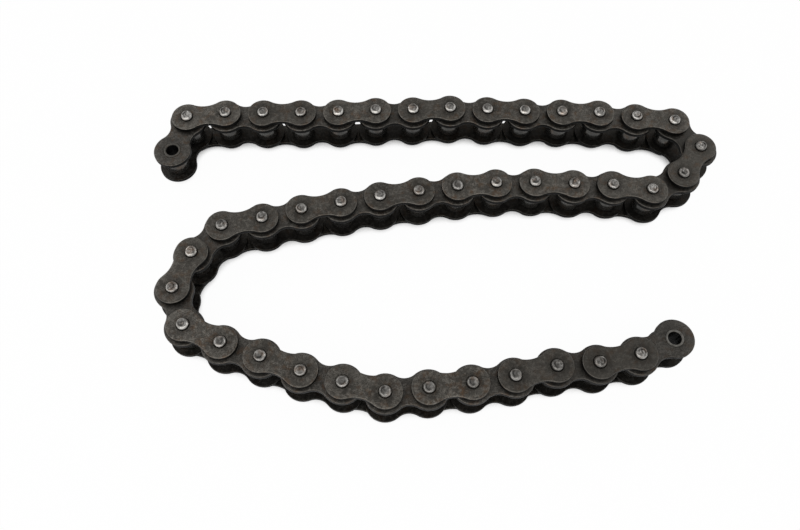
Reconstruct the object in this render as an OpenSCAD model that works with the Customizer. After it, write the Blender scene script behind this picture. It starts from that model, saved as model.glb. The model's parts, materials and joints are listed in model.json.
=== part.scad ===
// Single-strand roller chain, half-inch pitch, lying on its side in a loose S.
// Inner links (two plates pressed on two bushes, with a roller on each bush) alternate with
// outer links (two plates pressed on two pins). Each pin turns inside a bush, and that is the
// joint between two links. Both ends of the chain are inner links with an empty bush, where a
// connecting link goes. Millimetres, Z up, standing on the lower ends of the pins.

/* [Pitch and width] */
// Distance between the centres of neighbouring pins
pitch = 12.7; // [12.4:0.1:14]
// Clear width between the two plates of an inner link
inner_width = 7.55; // [6.5:0.05:9.5]

/* [Plates] */
// Height of an inner plate across its round ends
inner_plate_height = 12.2; // [10.6:0.1:12.4]
// Height of an inner plate at its waist
inner_waist_height = 8.1; // [7.2:0.1:9]
// Thickness of an inner plate
inner_plate_t = 1.5; // [1:0.05:2]
// Height of an outer plate across its round ends
outer_plate_height = 10.4; // [9:0.1:11.4]
// Height of an outer plate at its waist
outer_waist_height = 7.3; // [6:0.1:8]
// Thickness of an outer plate
outer_plate_t = 1.5; // [1:0.05:2]
// Gap between the lower plate of an inner link and the outer plate that it rests on
plate_gap = 0.15; // [0.1:0.01:0.4]
// How much wider the gap above an inner link is than the one below it
side_play = 0.4; // [0.1:0.05:0.6]

/* [Pins] */
// Diameter of a pin
pin_d = 3.97; // [3.4:0.01:4.4]
// How far a pin stands out of the outer plate
pin_standout = 1.125; // [0.9:0.025:2]
// How much wider than the pin its riveted end is, on the radius
rivet_swell = 0.03; // [0.01:0.01:0.3]
// Bevel round the riveted end
rivet_bevel = 0.4; // [0.2:0.05:0.6]
// Depth of the riveting dent in the middle of the end
dent_depth = 0.15; // [0.05:0.05:0.3]
// Radius of the riveting dent
dent_r = 0.7; // [0.3:0.05:1]

/* [Bushes and rollers] */
// Wall of a bush
bush_wall = 0.8; // [0.6:0.05:1]
// How far a bush stands out of the inner plate
bush_standout = 0.07; // [0.02:0.01:0.08]
// Bevel at the mouth of a bush
bush_bevel = 0.2; // [0.1:0.05:0.3]
// Diameter of a roller
roller_d = 7.92; // [7.3:0.02:8.4]
// Bevel round the rims of a roller
roller_bevel = 0.35; // [0.1:0.05:0.6]

/* [Fits] */
// Running clearance between pin and bush, on the radius
pin_clearance = 0.05; // [0.03:0.01:0.08]
// Running clearance between bush and roller, on the radius
roller_clearance = 0.05; // [0.03:0.01:0.1]
// Side clearance between a roller and each inner plate
roller_side_gap = 0.08; // [0.05:0.01:0.2]
// Air left round a pressed-in pin or bush so that each stays a solid of its own, on the radius
press_gap = 0.01; // [0.01:0.005:0.02]

/* [Hidden] */
$fn = 64;

// The lay: direction of the first link, then the turn at each pin in degrees, left positive.
// These numbers weren't chosen by hand: a script fitted them to pin ends measured in the photo.
first_heading = 74;
far_run_angles = [-64, -7, 0, 1, 2, -2, 2, -6, 0, 1, 0, -5, -1];
right_turn_angles = [-48, -70, -26, -36];
middle_run_angles = [6, -1, 4, 4, 3, 0, 2, 1, 3, -2];
left_turn_angles = [35, 22, 41, 44];
near_run_angles = [6, -1, 5, 2, 19, 1, 3, 4, -9, 7, 14];
turn_angles = concat(far_run_angles, right_turn_angles, middle_run_angles, left_turn_angles, near_run_angles);

links = len(turn_angles) + 1;
headings = [for (i = 0, h = first_heading; i < links; h = h + (i < links - 1 ? turn_angles[i] : 0), i = i + 1) h];

// Pin and end-bush centres one after another, then shifted so that the chain is centred
laid = [for (i = 0, p = [0, 0]; i <= links; p = p + (i < links ? pitch * along(i) : [0, 0]), i = i + 1) p];
laid_x = [for (p = laid) p[0]];
laid_y = [for (p = laid) p[1]];
middle = [min(laid_x) + max(laid_x), min(laid_y) + max(laid_y)] / 2;
centres = [for (p = laid) p - middle];
function along(i) = [cos(headings[i]), sin(headings[i])];

// Levels above and below the middle of the chain's width
inner_plate_z = inner_width / 2;
inner_face_z = inner_plate_z + inner_plate_t;
outer_plate_z = inner_face_z + plate_gap + side_play / 2;
outer_face_z = outer_plate_z + outer_plate_t;
pin_half = outer_face_z + pin_standout;
bush_half = inner_face_z + bush_standout;
roller_half = inner_plate_z - roller_side_gap;

// An inner link lies below the middle of its pins by this much
inner_drop = side_play / 2;

pin_r = pin_d / 2;
bush_bore_r = pin_r + pin_clearance;
bush_r = bush_bore_r + bush_wall;
roller_bore_r = bush_r + roller_clearance;
roller_r = roller_d / 2;

// The rollers of this many inner links at each end have nodes of their own
loose_roller_links = 4;
function is_inner(i) = i % 2 == 0;
function has_loose_rollers(i) = is_inner(i) && (i < 2 * loose_roller_links || i > links - 1 - 2 * loose_roller_links);

function two_digits(n) = n < 10 ? str("0", n) : str(n);
function link_name(i) = str(is_inner(i) ? "inner_link_" : "outer_link_", two_digits(i + 1));
function roller_name(i, end) = str("roller_", two_digits(i + 1), end == 0 ? "a" : "b");

plate_colour = [0.24, 0.23, 0.21];
roller_colour = [0.14, 0.14, 0.15];
bush_colour = [0.36, 0.35, 0.34];
pin_colour = [0.5, 0.49, 0.47];

// Outline of a plate: a round end on each centre, joined by two hollow arcs tangent to both
module plate_outline(end_r, waist_half) {
    half = pitch / 2;
    hollow_r = (half * half + waist_half * waist_half - end_r * end_r) / (2 * (end_r - waist_half));
    hollow_y = waist_half + hollow_r;
    tangent = end_r / (end_r + hollow_r);
    corner = [half * (1 - tangent), hollow_y * tangent];
    for (side = [-1, 1]) translate([side * half, 0]) circle(end_r);
    difference() {
        square([2 * half, 2 * corner[1]], center = true);
        for (side = [-1, 1]) translate([0, side * hollow_y]) circle(hollow_r);
        for (side = [-1, 1]) translate([side * half, 0]) square([2 * (half - corner[0]), pitch], center = true);
    }
}

module plate(end_r, waist_half, hole_r, thickness) {
    color(plate_colour) linear_extrude(thickness) difference() {
        plate_outline(end_r, waist_half);
        for (side = [-1, 1]) translate([side * pitch / 2, 0]) circle(hole_r);
    }
}

module inner_plate() {
    plate(inner_plate_height / 2, inner_waist_height / 2, bush_r + press_gap, inner_plate_t);
}

module outer_plate() {
    plate(outer_plate_height / 2, outer_waist_height / 2, pin_r + press_gap, outer_plate_t);
}

// A copy above the middle of the chain's width and its mirror image below
module both_sides(z) {
    translate([0, 0, z]) children();
    mirror([0, 0, 1]) translate([0, 0, z]) children();
}

module bush() {
    straight = bush_half - bush_bevel;
    color(bush_colour) rotate_extrude() polygon([
        [bush_bore_r, -straight],
        [bush_bore_r + bush_bevel, -bush_half],
        [bush_r, -bush_half],
        [bush_r, bush_half],
        [bush_bore_r + bush_bevel, bush_half],
        [bush_bore_r, straight]
    ]);
}

module roller() {
    straight = roller_half - roller_bevel;
    color(roller_colour) rotate_extrude() polygon([
        [roller_bore_r, -roller_half],
        [roller_r - roller_bevel, -roller_half],
        [roller_r, -straight],
        [roller_r, straight],
        [roller_r - roller_bevel, roller_half],
        [roller_bore_r, roller_half]
    ]);
}

// Half of a pin's section, from the middle up: shank, swollen riveted end, bevel and dent
module pin() {
    swell_r = pin_r + rivet_swell;
    swell_z = outer_face_z + press_gap;
    upper = [
        [pin_r, swell_z],
        [swell_r, swell_z],
        [swell_r, pin_half - rivet_bevel],
        [swell_r - rivet_bevel, pin_half],
        [dent_r, pin_half],
        [0, pin_half - dent_depth]
    ];
    lower = [for (i = [len(upper) - 1:-1:0]) [upper[i][0], -upper[i][1]]];
    color(pin_colour) rotate_extrude() polygon(concat(upper, lower));
}

// Puts its children on link i: the middle of the link, the link's length along X
module on_link(i) {
    spot = (centres[i] + centres[i + 1]) / 2;
    translate([spot[0], spot[1], pin_half - (is_inner(i) ? inner_drop : 0)]) rotate([0, 0, headings[i]]) children();
}

// Puts its children on one of the link's two centres, 0 for the first and 1 for the second
module at_end(end) {
    translate([(end == 0 ? -1 : 1) * pitch / 2, 0, 0]) children();
}

module at_both_ends() {
    for (end = [0, 1]) at_end(end) children();
}

module inner_link(i) {
    on_link(i) {
        both_sides(inner_plate_z) inner_plate();
        at_both_ends() bush();
        if (!has_loose_rollers(i)) at_both_ends() roller();
    }
}

module outer_link(i) {
    on_link(i) {
        both_sides(outer_plate_z) outer_plate();
        at_both_ends() pin();
    }
}

module link(i) {
    if (is_inner(i)) inner_link(i);
    else outer_link(i);
}

module loose_roller(i, end) {
    on_link(i) at_end(end) roller();
}

for (i = [0:links - 1]) link(i);
for (i = [0:links - 1]) if (has_loose_rollers(i)) for (end = [0, 1])
    loose_roller(i, end);
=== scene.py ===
"""A length of roller chain lying in an S: every plate, pin, bush and roller as a piece of its own.

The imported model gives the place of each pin, and the sizes below are those of the CAD model. Lengths are
written in millimetres and turned into metres with MM.
"""

import json
import math
import random

import bpy
from mathutils import Matrix, Vector, noise

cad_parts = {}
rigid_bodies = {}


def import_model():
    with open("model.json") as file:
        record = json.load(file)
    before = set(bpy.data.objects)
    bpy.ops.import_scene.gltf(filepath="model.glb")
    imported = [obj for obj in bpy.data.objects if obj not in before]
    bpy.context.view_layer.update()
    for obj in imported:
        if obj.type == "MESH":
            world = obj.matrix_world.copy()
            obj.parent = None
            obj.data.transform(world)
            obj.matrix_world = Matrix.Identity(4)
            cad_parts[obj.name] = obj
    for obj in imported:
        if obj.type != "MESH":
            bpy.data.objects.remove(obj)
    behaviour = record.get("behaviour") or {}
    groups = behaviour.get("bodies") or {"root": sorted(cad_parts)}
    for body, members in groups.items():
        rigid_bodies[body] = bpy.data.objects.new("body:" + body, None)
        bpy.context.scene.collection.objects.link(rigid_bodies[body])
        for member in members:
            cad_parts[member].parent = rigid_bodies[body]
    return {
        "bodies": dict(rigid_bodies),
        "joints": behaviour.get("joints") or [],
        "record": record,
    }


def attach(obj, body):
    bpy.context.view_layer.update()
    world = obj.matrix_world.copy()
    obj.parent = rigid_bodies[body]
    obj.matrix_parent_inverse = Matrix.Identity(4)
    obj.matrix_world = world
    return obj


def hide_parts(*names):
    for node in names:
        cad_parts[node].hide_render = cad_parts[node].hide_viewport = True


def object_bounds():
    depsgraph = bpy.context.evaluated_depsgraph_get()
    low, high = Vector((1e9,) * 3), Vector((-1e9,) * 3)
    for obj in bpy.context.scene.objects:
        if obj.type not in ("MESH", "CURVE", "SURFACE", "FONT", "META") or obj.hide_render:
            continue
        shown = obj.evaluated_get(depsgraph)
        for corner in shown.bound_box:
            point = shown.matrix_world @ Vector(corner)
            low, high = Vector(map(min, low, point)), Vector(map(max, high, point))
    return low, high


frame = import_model()
CAD_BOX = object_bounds()

MM = 0.001
UP = Vector((0, 0, 1))

# Sizes of the chain, in millimetres
INNER_WIDTH = 7.55
INNER_PLATE_T = 1.5
OUTER_PLATE_T = 1.5
PLATE_GAP = 0.15
SIDE_PLAY = 0.4
INNER_END_R = 6.1
INNER_WAIST = 4.05
OUTER_END_R = 5.2
OUTER_WAIST = 3.65
PIN_R = 1.985
PIN_STANDOUT = 1.125
RIVET_R = 2.015
BUSH_BORE_R = 2.035
BUSH_R = 2.835
BUSH_STANDOUT = 0.07
ROLLER_BORE_R = 2.885
ROLLER_R = 3.96
ROLLER_SIDE_GAP = 0.08
PRESS_GAP = 0.01
# How far in and how deep a plate's edge is rolled over on the side that faces out, and the radius of the
# tight edge on the other side
EDGE_ROLL = 0.5, 0.4, 0.12
# How worn that rolled edge is, from the face over to the wall
# The light step is partly rubbing and partly a painted highlight; the dark steps are painted shade
EDGE_WEAR_SHEEN_AND_SHADE = 0.0, -0.15, -0.2, 0.5, -0.15, -0.75, -1.0
# Bevel at the mouths of a plate's holes
HOLE_BEVEL = 0.10
# Bevel in the mouth of a bush and round its outer edge
BUSH_BEVELS = 0.2, 0.1
# Radius of a roller's outer rims and bevel of its inner ones
ROLLER_RIMS = 0.4, 0.1
# The ring that the riveting tool leaves in a pin's end: radius, half width and depth
RIVET_RING = 0.9, 0.25, 0.12
# The dent inside that ring: radius and depth
RIVET_DENT = 0.35, 0.06
# How far the peened face lies off the pin's middle
FACE_SHIFT = 0.13

# Levels above the middle of the chain's width, in millimetres
INNER_PLATE_Z = INNER_WIDTH / 2
INNER_FACE_Z = INNER_PLATE_Z + INNER_PLATE_T
OUTER_PLATE_Z = INNER_FACE_Z + PLATE_GAP + SIDE_PLAY / 2
OUTER_FACE_Z = OUTER_PLATE_Z + OUTER_PLATE_T
PIN_HALF = OUTER_FACE_Z + PIN_STANDOUT
BUSH_HALF = INNER_FACE_Z + BUSH_STANDOUT
ROLLER_HALF = INNER_PLATE_Z - ROLLER_SIDE_GAP

# Pins whose ends are made duller than the others, as painted shade, and how polished an end is, from and to
SHADE_DULLED_PINS = 15, 16, 36, 37, 38, 39, 40, 41
SHADE_DULLED_POLISH = 0.05, 0.3
BRIGHT_POLISH = 0.35, 0.9
# Links made darker than the others, as painted shade: round the right turn and at the right end
SHADED_LINKS = 15, 16, 17, 40, 41, 42, 43
# The links from this one on have bushes with light rings, as at the right end: partly wear and partly a
# painted highlight
SHEEN_BUSHES_FROM = 41
# Start of the random draws for tones, polish and riveting marks, and of the noise that dents a pin's end,
# which Blender would otherwise start from the clock
SEED = 7

# Points round a shape
LOBE_STEPS = 36
HOLLOW_STEPS = 9
WAIST_STEPS = 8
PIN_STEPS = 40
BUSH_STEPS = 40
ROLLER_STEPS = 48

# Colour of old oil on steel, also painted as shade in walls, bores, holes and under pin heads
OIL_AND_SHADE_COLOUR = (0.0036, 0.0035, 0.0034)

# Noises in the steel, in cells to a metre
CLOUD_SCALE = 190
STAIN_SCALE = 420
SPECK_SCALE = 1000
GRAIN_SCALE = 3000

# Strength of the studio's ceiling in gloss, low down and overhead
CEILING = 0.62, 0.44
# Strength of the light that the whole room throws
ROOM_LIGHT = 0.5


# ---------------------------------------------------------------- camera, lights, floor

def make_camera():
    """The photo's viewpoint. Its angle, roll, distance and target come from fitting the chain to the
    photo."""
    data = bpy.data.cameras.new("camera")
    data.sensor_width = 36
    data.lens = 35
    data.clip_start = 0.005
    camera = bpy.data.objects.new("camera", data)
    bpy.context.scene.collection.objects.link(camera)
    bpy.context.scene.camera = camera
    elevation, roll, distance = math.radians(65), math.radians(2.3), 256.2 * MM
    target = Vector((-10.87, -2.94, 0)) * MM
    back = Vector((0, -math.cos(elevation), math.sin(elevation)))
    turn = back.to_track_quat("Z", "Y").to_matrix().to_4x4() @ Matrix.Rotation(roll, 4, "Z")
    camera.matrix_world = Matrix.Translation(target + back * distance) @ turn


def softbox(name, place, size, watts, colour=(1, 1, 1), roll=0):
    """A soft lamp that faces the middle of the chain, turned by roll degrees about the way it faces."""
    data = bpy.data.lights.new(name, "AREA")
    data.shape = "RECTANGLE"
    data.size, data.size_y = size
    data.energy = watts
    data.color = colour
    light = bpy.data.objects.new(name, data)
    bpy.context.scene.collection.objects.link(light)
    facing = Vector(place).to_track_quat("Z", "Y").to_matrix().to_4x4()
    light.matrix_world = Matrix.Translation(place) @ facing @ Matrix.Rotation(math.radians(roll), 4, "Z")


def make_lights():
    """One broad lamp high in front, which the near rims of plates and pins catch, weaker ones beside, and a
    faint one low at the left, which reaches the rollers."""
    softbox("key", (-0.06, -0.55, 0.64), (1.1, 0.7), 3.2, (1, 0.99, 0.97), 12)
    softbox("left", (-0.6, 0.25, 0.5), (0.7, 0.5), 1.3, (0.98, 0.99, 1))
    softbox("right", (0.6, 0.25, 0.5), (0.7, 0.5), 1.1, (0.98, 0.99, 1))
    softbox("low", (-0.5, -0.3, 0.14), (0.4, 0.2), 0.22, (1, 0.97, 0.93))


def rays(nodes, links, *kinds):
    """A socket that is 1 for these kinds of ray and 0 for the others."""
    path = nodes.new("ShaderNodeLightPath")
    total = path.outputs[kinds[0]]
    for kind in kinds[1:]:
        larger = nodes.new("ShaderNodeMath")
        larger.operation = "MAXIMUM"
        links.new(total, larger.inputs[0])
        links.new(path.outputs[kind], larger.inputs[1])
        total = larger.outputs[0]
    return total


def spread(nodes, links, value, low, high, to_low, to_high):
    """value carried from low..high to to_low..to_high, each end a number or a socket."""
    node = nodes.new("ShaderNodeMapRange")
    ends = ("Value", value), ("From Min", low), ("From Max", high), ("To Min", to_low), ("To Max", to_high)
    for name, end in ends:
        if isinstance(end, (int, float)):
            node.inputs[name].default_value = end
        else:
            links.new(end, node.inputs[name])
    return node.outputs["Result"]


def make_world():
    """White walls as the lens sees them. Metal sees them white near the floor and greyer above, and the light
    that the room itself throws on the object is weaker than both."""
    world = bpy.data.worlds.new("studio")
    bpy.context.scene.world = world
    world.use_nodes = True
    nodes, links = world.node_tree.nodes, world.node_tree.links
    direction = nodes.new("ShaderNodeTexCoord").outputs["Generated"]
    split = nodes.new("ShaderNodeSeparateXYZ")
    links.new(direction, split.inputs["Vector"])
    ceiling = spread(nodes, links, split.outputs["Z"], 0.75, 1.0, *CEILING)
    in_gloss = spread(nodes, links, split.outputs["Z"], 0.02, 0.12, 1.0, ceiling)
    gloss = rays(nodes, links, "Is Glossy Ray", "Is Transmission Ray")
    unseen = spread(nodes, links, gloss, 0, 1, ROOM_LIGHT, in_gloss)
    strength = spread(nodes, links, rays(nodes, links, "Is Camera Ray"), 0, 1, unseen, 1.0)
    links.new(strength, nodes["Background"].inputs["Strength"])
    nodes["Background"].inputs["Color"].default_value = (1, 1, 1, 1)


def make_floor():
    """A white floor that is as white as the walls to the lens where nothing stands over it, and takes the
    chain's shadow beside and between the links, where its glow is also dimmed by ambient occlusion: painted
    shade."""
    half = 3.0
    mesh = bpy.data.meshes.new("floor")
    corners = [(-half, -half, 0), (half, -half, 0), (half, half, 0), (-half, half, 0)]
    mesh.from_pydata(corners, [], [(0, 1, 2, 3)])
    floor = bpy.data.objects.new("floor", mesh)
    bpy.context.scene.collection.objects.link(floor)
    floor.location.z = CAD_BOX[0].z
    material = bpy.data.materials.new("floor_white")
    material.use_nodes = True
    nodes, links = material.node_tree.nodes, material.node_tree.links
    surface = nodes["Principled BSDF"]
    surface.inputs["Base Color"].default_value = (0.9, 0.9, 0.9, 1)
    surface.inputs["Roughness"].default_value = 0.9
    surface.inputs["Specular IOR Level"].default_value = 0.1
    glow = nodes.new("ShaderNodeEmission")
    glow.inputs["Color"].default_value = (1, 1, 1, 1)
    around = nodes.new("ShaderNodeAmbientOcclusion")
    around.inputs["Distance"].default_value = 5 * MM
    mix = nodes.new("ShaderNodeMixShader")
    seen = rays(nodes, links, "Is Camera Ray", "Is Glossy Ray", "Is Transmission Ray")
    # The glow is dimmed where ambient occlusion finds the chain close by: painted shade
    glow_with_painted_shade = spread(nodes, links, around.outputs["AO"], 0.15, 0.55, 0.05, 0.97)
    links.new(product(nodes, links, seen, glow_with_painted_shade), mix.inputs["Fac"])
    links.new(surface.outputs["BSDF"], mix.inputs[1])
    links.new(glow.outputs["Emission"], mix.inputs[2])
    links.new(mix.outputs["Shader"], nodes["Material Output"].inputs["Surface"])
    mesh.materials.append(material)


# ---------------------------------------------------------------- materials

def noise_node(nodes, links, scale, detail, seed):
    """A noise over a piece's own coordinates, which are the row frame's at rest, in cells of about 1 / scale
    metres."""
    place = nodes.new("ShaderNodeTexCoord")
    shift = nodes.new("ShaderNodeMapping")
    shift.inputs["Location"].default_value = (seed, 0.37 * seed, -0.61 * seed)
    pattern = nodes.new("ShaderNodeTexNoise")
    pattern.inputs["Scale"].default_value = scale
    pattern.inputs["Detail"].default_value = detail
    links.new(place.outputs["Object"], shift.inputs["Vector"])
    links.new(shift.outputs["Vector"], pattern.inputs["Vector"])
    return pattern.outputs["Fac"]


def mixed(nodes, links, fac, first, second):
    """Colour between two, each a socket or an (r, g, b)."""
    node = nodes.new("ShaderNodeMix")
    node.data_type = "RGBA"
    for key, value in (("A", first), ("B", second)):
        socket = next(s for s in node.inputs if s.name == key and s.type == "RGBA")
        if isinstance(value, tuple):
            socket.default_value = (*value, 1)
        else:
            links.new(value, socket)
    links.new(fac, next(s for s in node.inputs if s.name == "Factor" and s.type == "VALUE"))
    return next(s for s in node.outputs if s.type == "RGBA")


def product(nodes, links, first, second):
    """Two sockets multiplied."""
    node = nodes.new("ShaderNodeMath")
    node.operation = "MULTIPLY"
    links.new(first, node.inputs[0])
    links.new(second, node.inputs[1])
    return node.outputs[0]


def attribute(nodes, name):
    """A value that the mesh carries at its points."""
    node = nodes.new("ShaderNodeAttribute")
    node.attribute_name = name
    return node.outputs["Fac"]


def steel(name, dark, light, worn, metallic, rough, grain, seed, mottle=1.0):
    """Steel with a cloudy dark oxide skin between the colours dark and light, darker where the mesh's tone is
    high: a random tone, and painted shade on some links. Where the mesh's value for wear and painted light is
    above zero, worn shows: bare metal, partly rubbed and partly a painted highlight. Where it is below zero,
    a near-black without metal covers it: partly old oil and partly painted shade in walls, bores, holes and
    under pin heads. rough is a (smooth, dull) pair, grain how deep the fine grain of the surface is, in
    millimetres, and mottle how strong the small spots are."""
    material = bpy.data.materials.new(name)
    material.use_nodes = True
    nodes, links = material.node_tree.nodes, material.node_tree.links
    surface = nodes["Principled BSDF"]
    clouds = noise_node(nodes, links, CLOUD_SCALE, 4, seed)
    stains = noise_node(nodes, links, STAIN_SCALE, 3, seed + 5)
    specks = noise_node(nodes, links, SPECK_SCALE, 4, seed + 3)
    fine = noise_node(nodes, links, GRAIN_SCALE, 3, seed + 7)
    wear_sheen_and_shade = attribute(nodes, "wear_sheen_and_shade")

    rusty = (1.75 * dark[0], 1.12 * dark[1], 0.72 * dark[2])
    pale = tuple(1.6 * c for c in light)
    deep = tuple(0.6 * c for c in dark)
    skin = mixed(nodes, links, spread(nodes, links, clouds, 0.38, 0.62, 0, 1), dark, light)
    skin = mixed(nodes, links, spread(nodes, links, stains, 0.5, 0.72, 0, 0.7), skin, rusty)
    skin = mixed(nodes, links, spread(nodes, links, specks, 0.45, 0.68, 0, 0.7 * mottle), skin, pale)
    skin = mixed(nodes, links, spread(nodes, links, fine, 0.55, 0.35, 0, 0.7 * mottle), skin, deep)
    # Darker where the tone is high: a random tone, and painted shade on the links listed as shaded
    skin = mixed(nodes, links, spread(nodes, links, attribute(nodes, "tone_and_shade"), 0, 2, 0, 0.7), skin, deep)
    # Bare metal where the wear-and-shade value is above zero: partly rubbed and partly a painted highlight
    rub_and_sheen = spread(nodes, links, wear_sheen_and_shade, 0, 1, 0, 1)
    patchy = spread(nodes, links, specks, 0.35, 0.6, 0.4, 1)
    skin = mixed(nodes, links, product(nodes, links, rub_and_sheen, patchy), skin, worn)
    # Near-black without metal where that value is below zero: partly old oil and partly painted shade
    oil_and_shade_share = spread(nodes, links, wear_sheen_and_shade, -1, 0, 1, 0)
    links.new(mixed(nodes, links, oil_and_shade_share, skin, OIL_AND_SHADE_COLOUR), surface.inputs["Base Color"])

    links.new(spread(nodes, links, oil_and_shade_share, 0.6, 1, metallic, 0.0), surface.inputs["Metallic"])
    links.new(spread(nodes, links, specks, 0.3, 0.7, rough[0], rough[1]), surface.inputs["Roughness"])
    surface.inputs["Specular IOR Level"].default_value = 0.03

    bump = nodes.new("ShaderNodeBump")
    bump.inputs["Distance"].default_value = grain * MM
    bump.inputs["Strength"].default_value = 1.0
    links.new(fine, bump.inputs["Height"])
    links.new(bump.outputs["Normal"], surface.inputs["Normal"])
    return material


def make_materials():
    return {
        "outer_plate": steel("outer_plate_steel", (0.080, 0.074, 0.065), (0.130, 0.121, 0.107),
                             (0.18, 0.17, 0.155), 0.85, (0.34, 0.5), 0.016, 1.0, 1.25),
        "inner_plate": steel("inner_plate_steel", (0.062, 0.058, 0.052), (0.096, 0.090, 0.081),
                             (0.125, 0.117, 0.107), 0.85, (0.34, 0.5), 0.016, 1.5, 1.25),
        "pin": steel("peened_pin_steel", (0.16, 0.153, 0.142), (0.25, 0.24, 0.225),
                     (0.86, 0.84, 0.80), 0.97, (0.18, 0.32), 0.015, 2.0, 0.5),
        "bush": steel("bush_steel", (0.065, 0.061, 0.054), (0.098, 0.092, 0.082),
                      (0.26, 0.25, 0.23), 0.9, (0.32, 0.46), 0.01, 3.0, 0.5),
        "roller": steel("roller_steel", (0.052, 0.052, 0.050), (0.082, 0.080, 0.076),
                        (0.10, 0.10, 0.095), 0.8, (0.13, 0.22), 0.005, 4.0),
    }


# ---------------------------------------------------------------- meshes

def make_piece(name, points, faces, wear_sheen_and_shade, tone_and_shade, material, at, body, stands_for):
    """One piece from points in millimetres in its link's own frame. at carries them into the row frame."""
    mesh = bpy.data.meshes.new(name)
    mesh.from_pydata([at @ (Vector(p) * MM) for p in points], [], faces)
    mesh.validate()
    for key, values in (("wear_sheen_and_shade", wear_sheen_and_shade), ("tone_and_shade", [tone_and_shade] * len(points))):
        layer = mesh.attributes.new(key, "FLOAT", "POINT")
        layer.data.foreach_set("value", values)
    mesh.shade_smooth()
    mesh.materials.append(material)
    piece = bpy.data.objects.new(name, mesh)
    bpy.context.scene.collection.objects.link(piece)
    weighted = piece.modifiers.new("weighted", "WEIGHTED_NORMAL")
    weighted.weight = 80
    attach(piece, body)
    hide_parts(stands_for)
    return piece


def quarter(steps):
    """Angles from 0 to a right angle."""
    return [0.5 * math.pi * k / steps for k in range(steps + 1)]


def plate_section(thickness):
    """(inset, height, wear and shade) down the edge of a plate: a broad rolled rim above, as the punch leaves
    it, lighter where it turns over, partly rubbed and partly a painted highlight, with painted shade just
    before that; then the dark broken wall and a tighter edge below, dark with painted shade and old oil."""
    wide, deep, tight = EDGE_ROLL
    rows = [(wide * 1.5, thickness, 0.0)]
    for a, rub_and_sheen in zip(quarter(len(EDGE_WEAR_SHEEN_AND_SHADE) - 1), EDGE_WEAR_SHEEN_AND_SHADE):
        rows.append((wide * (1 - math.sin(a)), thickness - deep * (1 - math.cos(a)), rub_and_sheen))
    # The wall and the tighter edge below, painted dark: painted shade, partly as old oil
    for a in quarter(3):
        oil_and_shade = 0.4 * math.sin(2 * a) - 1 + 0.4 * math.sin(a)
        rows.append((tight * (1 - math.cos(a)), tight * (1 - math.sin(a)), oil_and_shade))
    return rows


def plate_outline(pitch, end_r, waist):
    """Points round the right half of a plate: [(point, outward normal)] round the end, along the upper hollow
    and along the lower one, and the heights of the points down the middle line, where the halves join."""
    half = pitch / 2
    hollow_r = (half**2 + waist**2 - end_r**2) / (2 * (end_r - waist))
    hollow_y = waist + hollow_r
    meet = math.pi - math.atan2(hollow_y, half)
    rim = []
    for k in range(LOBE_STEPS + 1):
        a = meet * (2 * k / LOBE_STEPS - 1)
        out = Vector((math.cos(a), math.sin(a)))
        rim.append((Vector((half, 0)) + end_r * out, out))
    span = math.atan2(half, hollow_y)
    upper = []
    for k in range(1, HOLLOW_STEPS + 1):
        a = span * (1 - k / HOLLOW_STEPS)
        out = Vector((-math.sin(a), math.cos(a)))
        upper.append((Vector((0, hollow_y)) - hollow_r * out, out))
    lower = [(Vector((p.x, -p.y)), Vector((n.x, -n.y))) for p, n in reversed(upper)]
    middle = [waist * (1 - 2 * k / WAIST_STEPS) for k in range(1, WAIST_STEPS)]
    return rim, upper, middle, lower


def plate_mesh(pitch, end_r, waist, hole_r, thickness, oil_and_shade):
    """Points, faces and wear-and-shade values of a plate lying on z = 0, its two holes on the X axis. The
    face round the holes is darkened, the more, the larger the oil-and-shade argument, and their walls are
    black: partly oil that has crept out of the holes and partly painted shade round the pins and bushes."""
    rim, upper, middle, lower = plate_outline(pitch, end_r, waist)
    section = plate_section(thickness)
    # Darker round the hole and black down its wall: partly oil and partly painted shade
    hole = [(1.9, thickness, -0.15 * oil_and_shade), (1.2, thickness, -0.6 * oil_and_shade), (0.7, thickness, -oil_and_shade),
            (HOLE_BEVEL * 1.5, thickness, -oil_and_shade), (HOLE_BEVEL, thickness, -oil_and_shade),
            (0.0, thickness - HOLE_BEVEL, -1.0), (0.0, HOLE_BEVEL, -1.0), (HOLE_BEVEL, 0.0, -0.6)]
    points, faces, wear_sheen_and_shade = [], [], []

    def add(p, z, w):
        points.append((p[0], p[1], z))
        wear_sheen_and_shade.append(w)
        return len(points) - 1

    for side in (1, -1):
        centre = Vector((pitch / 2 * side, 0))
        turned = [(Vector((p.x * side, p.y)), Vector((n.x * side, n.y))) for p, n in rim + upper]
        after = [(Vector((p.x * side, p.y)), Vector((n.x * side, n.y))) for p, n in lower]
        wall = [[add(p - inset * n, z, w) for p, n in turned + after] for inset, z, w in section]
        first = len(turned)

        def ring(level, z):
            """The whole way round this half, with the middle line put in between the two hollows."""
            inset, _, w = section[level]
            between = [add(Vector((0, y * (1 - inset / waist))), z, w) for y in middle]
            return wall[level][:first] + between + wall[level][first:]

        top, foot = ring(0, thickness), ring(-1, 0.0)
        outward = [(Vector(points[i][:2]) - centre).normalized() for i in top]
        bore = [[add(centre + (hole_r + wide) * way, z, w) for way in outward] for wide, z, w in hole]
        loops = [top, *bore, foot]
        for a, b in zip(loops, loops[1:]):
            for k in range(len(a)):
                n = (k + 1) % len(a)
                face = (a[k], a[n], b[n], b[k])
                faces.append(face if side == 1 else face[::-1])
        # the outer wall has no faces across the middle line, where the halves meet
        for a, b in zip(wall, wall[1:]):
            for k in range(len(a)):
                if k != first - 1:
                    n = (k + 1) % len(a)
                    face = (a[n], a[k], b[k], b[n])
                    faces.append(face if side == 1 else face[::-1])
    return weld(points, faces, wear_sheen_and_shade)


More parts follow.
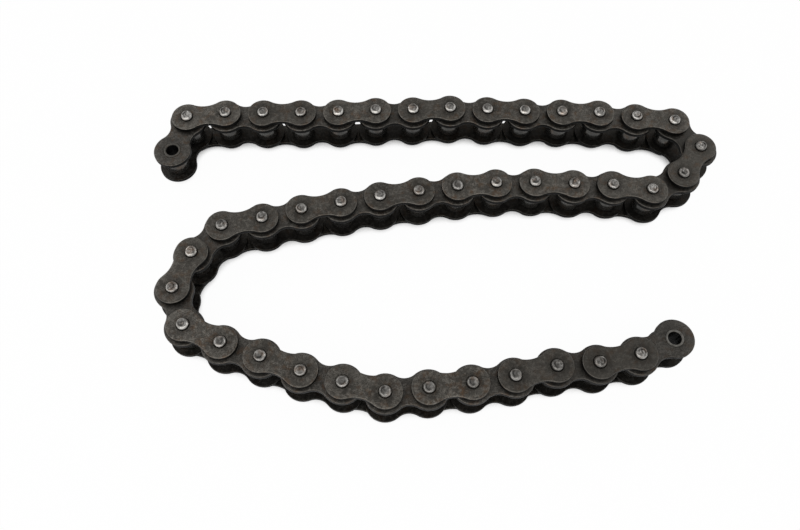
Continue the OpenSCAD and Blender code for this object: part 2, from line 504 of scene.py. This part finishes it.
def weld(points, faces, wear_sheen_and_shade):
    """Joins points that lie on each other, as along the line where two halves of a plate meet."""
    kept, number, new_points, new_wear_sheen_and_shade = {}, [], [], []
    for p, w in zip(points, wear_sheen_and_shade):
        key = tuple(round(c, 4) for c in p)
        if key not in kept:
            kept[key] = len(new_points)
            new_points.append(p)
            new_wear_sheen_and_shade.append(w)
        number.append(kept[key])
    return new_points, [tuple(number[i] for i in face) for face in faces], new_wear_sheen_and_shade


def turned_mesh(section, steps):
    """Points, faces and wear-and-shade values of a turned shape. section is a closed loop of (radius, height,
    wear and shade), or one that starts and ends on the axis."""
    points, wear_sheen_and_shade, rows = [], [], []
    for radius, z, w in section:
        if radius == 0:
            rows.append([len(points)] * steps)
            points.append((0, 0, z))
            wear_sheen_and_shade.append(w)
            continue
        rows.append(list(range(len(points), len(points) + steps)))
        for k in range(steps):
            a = 2 * math.pi * k / steps
            points.append((radius * math.cos(a), radius * math.sin(a), z))
            wear_sheen_and_shade.append(w)
    pairs = list(zip(rows, rows[1:]))
    if section[0][0] > 0:
        pairs.append((rows[-1], rows[0]))
    faces = []
    for low, high in pairs:
        for k in range(steps):
            n = (k + 1) % steps
            face = [low[k], low[n], high[n], high[k]]
            faces.append(tuple(i for j, i in enumerate(face) if i not in face[:j]))
    return points, faces, wear_sheen_and_shade


def mirrored(section):
    """A section from the axis or the lowest point up to the middle, carried on up as its mirror image."""
    return section + [(r, -z, w) for r, z, w in reversed(section)]


def pin_mesh(turn, polish_and_shade):
    """A pin with both ends riveted over: a peened face a little off the middle, the open ring that the
    riveting tool leaves, deepest at turn, a share of a whole turn, and a slope round it, polished from 0 to
    1, set low on some pins as painted shade. Below the slope the head's skirt and side are painted dark:
    painted shade where the head meets the plate."""
    foot, top = OUTER_FACE_Z + PRESS_GAP, PIN_HALF
    rows = [(0, top, -0.1)]
    rows += [(r, top, 0.1) for r in (0.2, 0.38, 0.55, 0.7, 0.85, 1.0, 1.15, 1.28)]
    rows += [(1.39, top - 0.03, 0.1), (1.47, top - 0.09, 0.3 * polish_and_shade), (1.55, top - 0.17, polish_and_shade)]
    rows += [(1.65, top - 0.3, polish_and_shade), (1.74, top - 0.44, polish_and_shade), (1.82, top - 0.58, 0.7 * polish_and_shade)]
    # The skirt and side of the head, painted dark: painted shade where the head meets the plate
    rows += [(1.87, top - 0.68, -0.6), (1.94, top - 0.82, -0.95), (RIVET_R, top - 0.97, -1.0)]
    rows += [(RIVET_R, foot, -1.0), (PIN_R, foot - 0.1, -1.0)]
    points, faces, wear_sheen_and_shade = turned_mesh(mirrored([(r, -z, w) for r, z, w in rows]), PIN_STEPS)
    ring_r, ring_width, ring_depth = RIVET_RING
    dent_r, dent_depth = RIVET_DENT
    way = 2 * math.pi * turn
    for i, (x, y, z) in enumerate(points):
        if abs(z) < foot + 0.2:
            continue
        radius, angle = math.hypot(x, y), math.atan2(y, x)
        open_ring = max(0.0, math.cos(angle - way) + 0.35) / 1.35
        groove = open_ring * math.exp(-(((radius - ring_r) / ring_width) ** 2))
        dent = math.exp(-((radius / dent_r) ** 2))
        push = noise.noise_vector(Vector((x * 1.4 + turn * 97, y * 1.4, z))) * 0.06
        sunk = ring_depth * groove + dent_depth * dent + abs(push.z)
        blotch = noise.noise(Vector((x * 1.3 + turn * 53, y * 1.3, z))) if radius < 1.45 else 0.0
        wear_sheen_and_shade[i] += 0.5 * blotch - 0.9 * groove - 0.3 * dent
        off = FACE_SHIFT * min(1.0, max(0.0, (PIN_R - radius) / 0.4))
        points[i] = (x * (1 + 0.3 * push.x) + off * math.cos(3 * way),
                     y * (1 + 0.3 * push.y) + off * math.sin(3 * way), z - math.copysign(sunk, z))
    return points, faces, wear_sheen_and_shade


def bush_mesh(mouth_sheen):
    """A bush whose bore is painted dark as shade and whose ends are about as light as the plates, lighter at
    the mouth by the first argument: a ring that is partly wear and partly a painted highlight."""
    bevel, edge = BUSH_BEVELS
    straight = BUSH_HALF - bevel
    # The bore, painted dark as shade
    rows = [(BUSH_BORE_R, 0.0, -1.0), (BUSH_BORE_R, -straight, -1.0)]
    # The mouth's bevel, lighter: partly wear and partly a painted highlight
    for a in quarter(3):
        radius, level = BUSH_BORE_R + bevel * (1 - math.cos(a)), straight + bevel * math.sin(a)
        rows.append((radius, -level, (1 + mouth_sheen) * math.sin(a) - 1))
    for a in quarter(3):
        radius, level = BUSH_R - edge * (1 - math.sin(a)), BUSH_HALF - edge * (1 - math.cos(a))
        rows.append((radius, -level, 0.5 * mouth_sheen - 0.3 * math.sin(a)))
    rows += [(BUSH_R, 0.0, -1.0)]
    upper = [(r, -z, w) for r, z, w in reversed(rows[1:-1])]
    return turned_mesh(rows + upper, BUSH_STEPS)


def roller_mesh():
    """A roller with rounded rims, rubbed light where they turn over."""
    rim, bevel = ROLLER_RIMS
    straight = ROLLER_HALF - rim
    # The bore, painted dark as shade
    rows = [(ROLLER_BORE_R, 0.0, -1.0), (ROLLER_BORE_R, -(ROLLER_HALF - bevel), -1.0)]
    rows += [(ROLLER_BORE_R + bevel, -ROLLER_HALF, -0.3)]
    for a in quarter(4):
        rows.append((ROLLER_R - rim * (1 - math.sin(a)), -(straight + rim * math.cos(a)), math.sin(2 * a)))
    rows += [(ROLLER_R, -straight + 0.5, 0.0), (ROLLER_R, 0.0, 0.0)]
    upper = [(r, -z, w) for r, z, w in reversed(rows[1:-1])]
    return turned_mesh(rows + upper, ROLLER_STEPS)


# ---------------------------------------------------------------- the chain

def pin_centres():
    """The centres of the left end's bush, every pin in turn and the right end's bush, all at a pin's mid
    height."""
    mounts = {m["name"]: Vector(m["pos_m"]) for m in frame["record"]["mounts"]}
    turns = sorted((j["name"], Vector(j["pos_m"])) for j in frame["joints"] if j["name"].startswith("pin_"))
    places = [mounts["left_end_bush"], *[place for _, place in turns], mounts["right_end_bush"]]
    return [Vector((place.x, place.y, PIN_HALF * MM)) for place in places]


def flipped(mesh):
    """A plate mesh turned over about the X axis, for the lower plate of a pair."""
    points, faces, wear_sheen_and_shade = mesh
    return [(x, -y, -z) for x, y, z in points], faces, wear_sheen_and_shade


def shifted(mesh, x, z):
    """A mesh moved along X and up."""
    points, faces, wear_sheen_and_shade = mesh
    return [(px + x, py, pz + z) for px, py, pz in points], faces, wear_sheen_and_shade


def add_link(number, start, end, materials, shapes, tones):
    """Every piece of one link. Its CAD node, or nodes where its rollers are loose, is stood for by them."""
    inner = number % 2 == 1
    link = f"{'inner' if inner else 'outer'}_link_{number:02d}"
    along = (end - start).normalized()
    middle = (start + end) / 2 - (SIDE_PLAY / 2 * MM * UP if inner else Vector())
    at = Matrix.Translation(middle) @ Matrix((along, UP.cross(along), UP)).transposed().to_4x4()
    half = (end - start).length / MM / 2

    def place(name, mesh, material):
        points, faces, wear_sheen_and_shade = mesh
        # The shaded links listed above get a tone one higher: painted shade on top of the random tone
        tone_and_shade = tones.random() + (1 if number in SHADED_LINKS else 0)
        make_piece(name, points, faces, wear_sheen_and_shade, tone_and_shade, materials[material], at, link, link)

    plate_steel = "inner_plate" if inner else "outer_plate"
    plate = shapes[plate_steel]
    level = INNER_PLATE_Z if inner else OUTER_PLATE_Z
    place(f"plate_{number:02d}_upper", shifted(plate, 0, level), plate_steel)
    place(f"plate_{number:02d}_lower", shifted(flipped(plate), 0, -level), plate_steel)
    for letter, x in (("a", -half), ("b", half)):
        if not inner:
            pin = number if letter == "b" else number - 1
            # Some pins get less polish, which paints shade on them
            polish_and_shade = tones.uniform(*(SHADE_DULLED_POLISH if pin in SHADE_DULLED_PINS else BRIGHT_POLISH))
            place(f"pin_{number:02d}{letter}", shifted(pin_mesh(tones.random(), polish_and_shade), x, 0), "pin")
            continue
        # From here on, bushes with a mouth ring that is partly wear and partly a painted highlight
        bush = "sheen_bush" if number >= SHEEN_BUSHES_FROM else "bush"
        place(f"bush_{number:02d}{letter}", shifted(shapes[bush], x, 0), "bush")
        roller = f"roller_{number:02d}{letter}"
        body = roller if roller in frame["bodies"] else link
        points, faces, wear_sheen_and_shade = shifted(shapes["roller"], x, 0)
        make_piece(f"{roller}_turned", points, faces, wear_sheen_and_shade, tones.random(), materials["roller"], at, body,
                   body)


def make_chain():
    """All the links, from the left end's to the right end's."""
    centres = pin_centres()
    pitch = (centres[1] - centres[0]).length / MM
    hole = BUSH_R + PRESS_GAP
    shapes = {
        "inner_plate": plate_mesh(pitch, INNER_END_R, INNER_WAIST, hole, INNER_PLATE_T, 0.2),
        "outer_plate": plate_mesh(pitch, OUTER_END_R, OUTER_WAIST, PIN_R + PRESS_GAP, OUTER_PLATE_T, 0.3),
        # bush_mesh's number is how light the mouth ring is: partly wear and partly a painted highlight
        "bush": bush_mesh(0.1),
        "sheen_bush": bush_mesh(0.6),
        "roller": roller_mesh(),
    }
    materials = make_materials()
    tones = random.Random(SEED)
    noise.seed_set(SEED)
    for i, (start, end) in enumerate(zip(centres, centres[1:])):
        add_link(i + 1, start, end, materials, shapes, tones)


make_camera()
make_lights()
make_world()
make_floor()
make_chain()

bpy.context.scene.view_settings.view_transform = "Standard"
